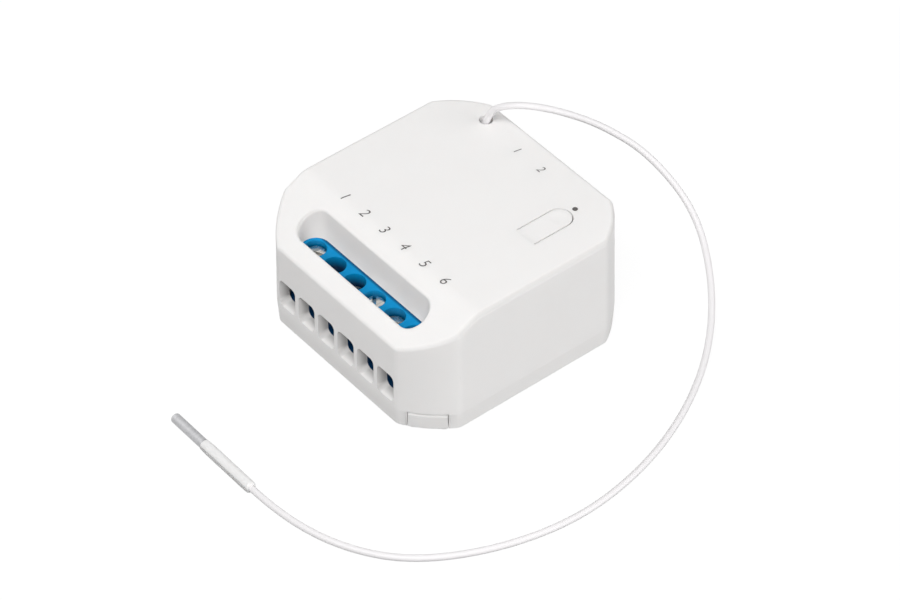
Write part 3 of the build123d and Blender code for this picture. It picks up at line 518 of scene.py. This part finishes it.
def scratch_group():
    """Node group: fine scratches in one direction, as a height and a mask."""
    group = bpy.data.node_groups.new("fine_scratches", "ShaderNodeTree")
    group.interface.new_socket("Size", in_out="INPUT", socket_type="NodeSocketFloat")
    group.interface.new_socket("Height", in_out="OUTPUT", socket_type="NodeSocketFloat")
    group.interface.new_socket("Mask", in_out="OUTPUT", socket_type="NodeSocketFloat")
    nodes, links = group.nodes, group.links
    given = nodes.new("NodeGroupInput")
    result = nodes.new("NodeGroupOutput")
    place = nodes.new("ShaderNodeTexCoord")
    stretch = nodes.new("ShaderNodeMapping")
    stretch.inputs["Scale"].default_value = scratch_stretch
    lines = nodes.new("ShaderNodeTexNoise")
    lines.inputs["Detail"].default_value = scratch_detail
    sharp = nodes.new("ShaderNodeMapRange")
    sharp.inputs["From Min"].default_value = scratch_low
    sharp.inputs["From Max"].default_value = scratch_high
    links.new(place.outputs["Object"], stretch.inputs["Vector"])
    links.new(stretch.outputs["Vector"], lines.inputs["Vector"])
    links.new(given.outputs["Size"], lines.inputs["Scale"])
    links.new(lines.outputs["Fac"], sharp.inputs["Value"])
    links.new(lines.outputs["Fac"], result.inputs["Height"])
    links.new(sharp.outputs["Result"], result.inputs["Mask"])
    return group


fine_scratches = scratch_group()


def metal(
    name, colour, shade, roughness, size=scratch_size, depth=scratch_depth, spread=scratch_spread
):
    """Metal with fine scratches in its colour, gloss and surface."""
    material, shader = start_material(name, roughness)
    shader.inputs["Metallic"].default_value = 1.0
    nodes, links = material.node_tree.nodes, material.node_tree.links
    lines = nodes.new("ShaderNodeGroup")
    lines.node_tree = fine_scratches
    lines.inputs["Size"].default_value = size
    mix = nodes.new("ShaderNodeMix")
    mix.data_type = "RGBA"
    mix.inputs["A"].default_value = (*colour, 1.0)
    mix.inputs["B"].default_value = (*shade, 1.0)
    links.new(lines.outputs["Mask"], mix.inputs["Factor"])
    links.new(mix.outputs["Result"], shader.inputs["Base Color"])
    gloss = nodes.new("ShaderNodeMapRange")
    gloss.inputs["To Min"].default_value = roughness - spread
    gloss.inputs["To Max"].default_value = roughness + spread
    links.new(lines.outputs["Mask"], gloss.inputs["Value"])
    links.new(gloss.outputs["Result"], shader.inputs["Roughness"])
    bump = nodes.new("ShaderNodeBump")
    bump.inputs["Strength"].default_value = scratch_strength
    bump.inputs["Distance"].default_value = depth
    links.new(lines.outputs["Height"], bump.inputs["Height"])
    links.new(bump.outputs["Normal"], shader.inputs["Normal"])
    return material


plated_steel = metal("plated_steel", plated_colour, plated_shade, plated_rough)
for number in range(1, terminal_count + 1):
    dress(f"clamp_screw_{number}", plated_steel)
    dress(f"clamp_plate_{number}", plated_steel)
dress("terminal_yokes", plated_steel)


# Antenna lead
# A thin coaxial cable in a smooth milky jacket. It comes out of the hole in the
# lid, arches over the back edge and lies round the module on the table.
lead_diameter = 0.00113
lead_route = (
    (-0.0122, 0.01835, 0.0215),
    (-0.0116, 0.0186, 0.0245),
    (-0.0093, 0.0194, 0.0269),
    (-0.0062, 0.0220, 0.0277),
    (-0.0034, 0.0268, 0.0256),
    (-0.0002, 0.0329, 0.0213),
    (0.0050, 0.0386, 0.0155),
    (0.0145, 0.0405, 0.0086),
    (0.0250, 0.0350, 0.0039),
    (0.0345, 0.0260, 0.0013),
    (0.0420, 0.0143, 0.0006),
    (0.0470, 0.0012, 0.0006),
    (0.0488, -0.0128, 0.0006),
    (0.0460, -0.0265, 0.0006),
    (0.0395, -0.0385, 0.0006),
    (0.0304, -0.0451, 0.0006),
    (0.0195, -0.0483, 0.0010),
    (0.0122, -0.0483, 0.0010),
)
jacket_colour = (0.850, 0.834, 0.843)
jacket_shade = (0.825, 0.808, 0.817)
jacket_rough = 0.52
jacket_grain_size = 1500.0
jacket_grain_depth = 0.0000012
jacket_cloud = 60.0
jacket_spread = 0.03
lead_round_steps = 8
lead_long_steps = 16
lead_order = 3

jacket, jacket_shader = start_material("lead_jacket", jacket_rough)
grained(
    jacket, jacket_shader, jacket_colour, jacket_shade,
    jacket_grain_size, jacket_grain_depth, jacket_cloud, jacket_spread,
)

lead_curve = bpy.data.curves.new("antenna_cable", "CURVE")
lead_curve.dimensions = "3D"
lead_curve.bevel_depth = lead_diameter / 2
lead_curve.bevel_resolution = lead_round_steps
lead_curve.resolution_u = lead_long_steps
lead_curve.use_fill_caps = True
lead_line = lead_curve.splines.new("NURBS")
lead_line.points.add(len(lead_route) - 1)
for point, place in zip(lead_line.points, lead_route):
    point.co = (*place, 1.0)
lead_line.order_u = lead_order
lead_line.use_endpoint_u = True
lead_curve.materials.append(jacket)
lead = bpy.data.objects.new("antenna_cable", lead_curve)
bpy.context.scene.collection.objects.link(lead)
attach(lead, "housing")
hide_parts("antenna_lead")
dress("antenna_lead_inside", jacket)
dress("antenna_core", jacket)


# Sleeve and tip of the lead
# A milky shrink sleeve holds the lead's end and grips a drawn metal tube with a
# rounded end. Shrinking left the sleeve's ends rounded and its skin a little uneven.
sleeve_colour = (0.850, 0.845, 0.840)
sleeve_shade = (0.790, 0.785, 0.780)
# Painted shade where the sleeve is seen edge on
sleeve_edge_shade = (0.420, 0.420, 0.425)
sleeve_fleck = (0.060, 0.058, 0.060)
sleeve_rough = 0.30
sleeve_grain_size = 900.0
sleeve_grain_depth = 0.00003
sleeve_cloud = 260.0
sleeve_glow = 0.3
sleeve_glow_tint = (1.0, 0.95, 0.92)
sleeve_glow_depth = 0.0004
edge_view_blend = 0.30
edge_view_start = 0.42
edge_view_full = 0.85
fleck_size = 2000.0
fleck_start = 0.525
fleck_full = 0.540
fleck_side_shares = (0.80, 0.92)
tube_colour = (0.49, 0.49, 0.50)
tube_shade = (0.42, 0.42, 0.43)
tube_rough = 0.50
tube_scratch_size = 2600.0
tube_scratch_depth = 0.000002
tube_spread = 0.03
sleeve_sides = 40
sleeve_low, sleeve_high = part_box("antenna_sleeve")
sleeve_radius = (sleeve_high.z - sleeve_low.z) / 2
sleeve_length = sleeve_high.x - sleeve_low.x
sleeve_axis = Vector((0, (sleeve_low.y + sleeve_high.y) / 2, (sleeve_low.z + sleeve_high.z) / 2))

# Places along the sleeve from its lead end, and its radius there, as shares
sleeve_profile_shares = (
    (0.000, 0.62), (0.002, 0.78), (0.010, 0.90), (0.028, 0.955), (0.060, 0.975), (0.13, 0.985),
    (0.22, 0.985), (0.33, 0.995), (0.45, 0.985), (0.56, 0.990), (0.68, 1.000), (0.80, 0.990),
    (0.88, 0.985), (0.93, 0.965), (0.965, 0.94), (0.988, 0.92), (1.000, 0.90), (1.000, 0.875),
)


def turned_piece(name, profile, axis_place, sides):
    """Closed skin turned about a line along X, from places and radii along it."""
    shape = bmesh.new()
    rings = []
    for x, radius in profile:
        ring = []
        for side in range(sides):
            turn = 2 * math.pi * side / sides
            offset = Vector((0, radius * math.cos(turn), radius * math.sin(turn)))
            ring.append(shape.verts.new(Vector((x, 0, 0)) + axis_place + offset))
        rings.append(ring)
    for first, second in zip(rings, rings[1:]):
        for side in range(sides):
            following = (side + 1) % sides
            shape.faces.new((first[side], first[following], second[following], second[side]))
    shape.faces.new(rings[0])
    shape.faces.new(list(reversed(rings[-1])))
    bmesh.ops.recalc_face_normals(shape, faces=shape.faces)
    mesh = bpy.data.meshes.new(name)
    shape.to_mesh(mesh)
    shape.free()
    for polygon in mesh.polygons:
        polygon.use_smooth = len(polygon.vertices) == 4
    piece = bpy.data.objects.new(name, mesh)
    bpy.context.scene.collection.objects.link(piece)
    return piece


sleeve_skin, sleeve_shader = start_material("sleeve_skin", sleeve_rough)
sleeve_mix = grained(
    sleeve_skin, sleeve_shader, sleeve_colour, sleeve_shade,
    sleeve_grain_size, sleeve_grain_depth, sleeve_cloud,
)
sleeve_shader.inputs["Subsurface Weight"].default_value = sleeve_glow
sleeve_shader.inputs["Subsurface Radius"].default_value = sleeve_glow_tint
sleeve_shader.inputs["Subsurface Scale"].default_value = sleeve_glow_depth
sleeve_nodes, sleeve_links = sleeve_skin.node_tree.nodes, sleeve_skin.node_tree.links

# Painted shade: the clear skin is made greyer where it is seen edge on.
edge_view = sleeve_nodes.new("ShaderNodeLayerWeight")
edge_view.inputs["Blend"].default_value = edge_view_blend
edge_ramp = sleeve_nodes.new("ShaderNodeMapRange")
edge_ramp.inputs["From Min"].default_value = edge_view_start
edge_ramp.inputs["From Max"].default_value = edge_view_full
sleeve_links.new(edge_view.outputs["Facing"], edge_ramp.inputs["Value"])
edge_on = edge_ramp.outputs["Result"]
skin_colour = tinted(sleeve_skin, sleeve_mix.outputs["Result"], sleeve_edge_shade, edge_on)

# A few dark flecks show along the side that faces the front.
fleck = sleeve_nodes.new("ShaderNodeTexNoise")
fleck.inputs["Scale"].default_value = fleck_size
fleck_sharp = sleeve_nodes.new("ShaderNodeMapRange")
fleck_sharp.inputs["From Min"].default_value = fleck_start
fleck_sharp.inputs["From Max"].default_value = fleck_full
fleck_place = sleeve_nodes.new("ShaderNodeMath")
fleck_place.operation = "MULTIPLY"
fleck_sides = [sleeve_axis.y - share * sleeve_radius for share in fleck_side_shares]
front_side = place_mask(sleeve_skin, "Y", *fleck_sides)
sleeve_links.new(fleck.outputs["Fac"], fleck_sharp.inputs["Value"])
sleeve_links.new(fleck_sharp.outputs["Result"], fleck_place.inputs[0])
sleeve_links.new(front_side, fleck_place.inputs[1])
skin_colour = tinted(sleeve_skin, skin_colour, sleeve_fleck, fleck_place.outputs["Value"])
sleeve_links.new(skin_colour, sleeve_shader.inputs["Base Color"])

profile = [
    (sleeve_high.x - along * sleeve_length, share * sleeve_radius)
    for along, share in sleeve_profile_shares
]
sleeve = turned_piece("shrink_sleeve", profile, sleeve_axis, sleeve_sides)
sleeve.data.materials.append(sleeve_skin)
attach(sleeve, "housing")
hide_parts("antenna_sleeve")

# The tube starts inside the sleeve, and its free end is rounded.
tip_round_share = 0.45
tip_ring_share = 0.1
tip_hidden_share = 0.08
tip_round_steps = 9
tip_low, tip_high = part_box("antenna_tip_tube")
tip_radius = (tip_high.z - tip_low.z) / 2
tip_round = tip_radius * tip_round_share
tip_ring = tip_radius * tip_ring_share
tip_start = tip_high.x + sleeve_length * tip_hidden_share
tip_profile = [
    (tip_start, tip_radius),
    (tip_start - tip_ring, tip_radius),
    (tip_low.x + tip_round + tip_ring, tip_radius),
    (tip_low.x + tip_round, tip_radius),
]
for step in range(1, tip_round_steps + 1):
    turn = math.pi / 2 * step / tip_round_steps
    across = tip_radius - tip_round + tip_round * math.cos(turn)
    tip_profile.append((tip_low.x + tip_round - tip_round * math.sin(turn), across))
tip = turned_piece("tip_tube", tip_profile, sleeve_axis, sleeve_sides)
drawn_steel = metal(
    "drawn_steel", tube_colour, tube_shade, tube_rough, tube_scratch_size, tube_scratch_depth, tube_spread
)
tip.data.materials.append(drawn_steel)
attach(tip, "housing")
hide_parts("antenna_tip_tube")


# Boards
# Glass-fibre boards with green and blue solder mask, slightly glossy, with the
# weave just showing through the mask.
mask_green = ((0.020, 0.120, 0.050), (0.014, 0.092, 0.038))
mask_blue = ((0.014, 0.045, 0.170), (0.010, 0.034, 0.130))
mask_rough = 0.30
mask_weave_size = 1800.0
mask_weave_depth = 0.00001
mask_cloud = 400.0
mask_coat = 0.3


def solder_mask(name, colours):
    """Glossy lacquer over a woven board."""
    material, shader = start_material(name, mask_rough)
    grained(material, shader, *colours, mask_weave_size, mask_weave_depth, mask_cloud)
    shader.inputs["Coat Weight"].default_value = mask_coat
    return material


green_mask = solder_mask("green_mask", mask_green)
blue_mask = solder_mask("blue_mask", mask_blue)
for node in ("power_board", "logic_board"):
    dress(node, green_mask)
for node in ("wifi_board", "receiver_board"):
    dress(node, blue_mask)


# Board components
# Bought parts on the boards, each in the finish such a part has: black moulded
# cases, a grey potted box, blue and green dipped coats, yellow tape, sintered
# ferrite, clear lenses, and metal cans, shields and pins.
part_cloud = 300.0

# Colour, shade, roughness, grain size and grain depth of each finish
part_finishes = {
    "relay_case": ((0.012, 0.012, 0.014), (0.020, 0.020, 0.022), 0.30, 1500.0, 0.000006),
    "chip_case": ((0.016, 0.016, 0.016), (0.028, 0.028, 0.028), 0.55, 5000.0, 0.00001),
    "ferrite": ((0.025, 0.025, 0.028), (0.050, 0.050, 0.052), 0.60, 3500.0, 0.00003),
    "winding_tape": ((0.75, 0.46, 0.02), (0.62, 0.36, 0.01), 0.28, 700.0, 0.00002),
    "film_box": ((0.30, 0.31, 0.33), (0.25, 0.26, 0.28), 0.42, 2200.0, 0.00001),
    "varistor_dip": ((0.015, 0.060, 0.300), (0.010, 0.045, 0.230), 0.35, 900.0, 0.00004),
    "resistor_coat": ((0.080, 0.180, 0.100), (0.060, 0.140, 0.080), 0.65, 3000.0, 0.00004),
    "plunger_plastic": ((0.70, 0.70, 0.67), (0.64, 0.64, 0.61), 0.40, 2600.0, 0.00001),
    "light_lens": ((0.80, 0.80, 0.72), (0.72, 0.72, 0.62), 0.18, 2600.0, 0.000004),
}
# Colour, shade and roughness of each metal
part_metals = {
    "can_metal": ((0.20, 0.21, 0.24), (0.12, 0.13, 0.15), 0.35),
    "shield_metal": ((0.66, 0.65, 0.63), (0.50, 0.49, 0.47), 0.30),
    "gold_flash": ((0.86, 0.62, 0.25), (0.66, 0.46, 0.16), 0.26),
}
part_materials = {}
for name, (colour, shade, roughness, size, depth) in part_finishes.items():
    material, shader = start_material(name, roughness)
    grained(material, shader, colour, shade, size, depth, part_cloud)
    part_materials[name] = material
for name, (colour, shade, roughness) in part_metals.items():
    part_materials[name] = metal(name, colour, shade, roughness)
part_dress = {
    "relay_1": "relay_case", "relay_2": "relay_case",
    "bridge_rectifier": "chip_case", "driver_chip": "chip_case",
    "header_spacer": "chip_case", "tact_switch_base": "chip_case",
    "transformer_core": "ferrite", "inductor": "ferrite", "transformer_coil": "winding_tape",
    "suppression_capacitor": "film_box", "varistor": "varistor_dip", "fuse_resistor": "resistor_coat",
    "tact_plunger": "plunger_plastic", "led_1": "light_lens", "led_2": "light_lens",
    "input_capacitor": "can_metal", "output_capacitor": "can_metal",
    "wifi_shield": "shield_metal", "receiver_crystal": "shield_metal",
    "header_pins": "gold_flash", "antenna_socket": "gold_flash", "antenna_plug": "gold_flash",
}
for node, finish in part_dress.items():
    dress(node, part_materials[finish])


# Table, lamps and background
# A plain pale table under three soft square lamps, the strongest high at the front
# right, with faint even light from all round, as in a light tent.
table_size = 2.0
table_gap = 0.00003
table_grey = (0.36, 0.36, 0.36)
table_faint = (0.10, 0.10, 0.10)
table_glow = 0.93

# Place, side and power of each lamp
lamps = {
    "key_lamp": (Vector((0.294, -0.4455, 0.748)), 0.60, 7.7),
    "right_lamp": (Vector((0.70, 0.47, 0.31)), 0.60, 3.7),
    "left_lamp": (Vector((-0.80, -0.12, 0.33)), 0.60, 1.6),
}
fill_strength = 0.10
camera_white = 1.0
paper_white = (1.0, 1.0, 1.0)

table_mesh = bpy.data.meshes.new("table")
half_table = table_size / 2
corners = [
    (-half_table, -half_table, -table_gap),
    (half_table, -half_table, -table_gap),
    (half_table, half_table, -table_gap),
    (-half_table, half_table, -table_gap),
]
table_mesh.from_pydata(corners, [], [(0, 1, 2, 3)])
table = bpy.data.objects.new("table", table_mesh)
bpy.context.scene.collection.objects.link(table)


def seen_directly(nodes, links):
    """One where the camera, a reflection or a clear surface looks straight at it."""
    path = nodes.new("ShaderNodeLightPath")
    first = nodes.new("ShaderNodeMath")
    first.operation = "MAXIMUM"
    second = nodes.new("ShaderNodeMath")
    second.operation = "MAXIMUM"
    links.new(path.outputs["Is Camera Ray"], first.inputs[0])
    links.new(path.outputs["Is Glossy Ray"], first.inputs[1])
    links.new(first.outputs["Value"], second.inputs[0])
    links.new(path.outputs["Is Transmission Ray"], second.inputs[1])
    return second.outputs["Value"]


table_paint = bpy.data.materials.new("table_paint")
table_paint.use_nodes = True
table_nodes, table_links = table_paint.node_tree.nodes, table_paint.node_tree.links
table_nodes.remove(table_nodes["Principled BSDF"])
shaded = table_nodes.new("ShaderNodeBsdfDiffuse")
shaded.inputs["Color"].default_value = (*table_grey, 1.0)
faint = table_nodes.new("ShaderNodeBsdfDiffuse")
faint.inputs["Color"].default_value = (*table_faint, 1.0)
glow = table_nodes.new("ShaderNodeEmission")
glow.inputs["Strength"].default_value = table_glow
seen = table_nodes.new("ShaderNodeAddShader")
choice = table_nodes.new("ShaderNodeMixShader")
table_links.new(faint.outputs["BSDF"], seen.inputs[0])
table_links.new(glow.outputs["Emission"], seen.inputs[1])
table_links.new(seen_directly(table_nodes, table_links), choice.inputs["Fac"])
table_links.new(shaded.outputs["BSDF"], choice.inputs[1])
table_links.new(seen.outputs["Shader"], choice.inputs[2])

# From below the table is clear, so that the underside can be seen.
clear = table_nodes.new("ShaderNodeBsdfTransparent")
facing = table_nodes.new("ShaderNodeNewGeometry")
sides = table_nodes.new("ShaderNodeMixShader")
table_links.new(facing.outputs["Backfacing"], sides.inputs["Fac"])
table_links.new(choice.outputs["Shader"], sides.inputs[1])
table_links.new(clear.outputs["BSDF"], sides.inputs[2])
table_links.new(sides.outputs["Shader"], table_nodes["Material Output"].inputs["Surface"])
table_mesh.materials.append(table_paint)

for name, (place, side, power) in lamps.items():
    lamp_data = bpy.data.lights.new(name, "AREA")
    lamp_data.shape = "SQUARE"
    lamp_data.size = side
    lamp_data.energy = power
    lamp = bpy.data.objects.new(name, lamp_data)
    lamp.location = place
    lamp.rotation_euler = place.to_track_quat("Z", "Y").to_euler()
    bpy.context.scene.collection.objects.link(lamp)

world = bpy.data.worlds.new("tent")
bpy.context.scene.world = world
world.use_nodes = True
world_nodes, world_links = world.node_tree.nodes, world.node_tree.links
tent = world_nodes["Background"]
tent.inputs["Color"].default_value = (*paper_white, 1.0)
tent.inputs["Strength"].default_value = fill_strength
backdrop = world_nodes.new("ShaderNodeBackground")
backdrop.inputs["Color"].default_value = (*paper_white, 1.0)
backdrop.inputs["Strength"].default_value = camera_white
world_choice = world_nodes.new("ShaderNodeMixShader")
world_links.new(seen_directly(world_nodes, world_links), world_choice.inputs["Fac"])
world_links.new(tent.outputs["Background"], world_choice.inputs[1])
world_links.new(backdrop.outputs["Background"], world_choice.inputs[2])
world_links.new(world_choice.outputs["Shader"], world_nodes["World Output"].inputs["Surface"])

bpy.context.scene.view_settings.view_transform = "Standard"
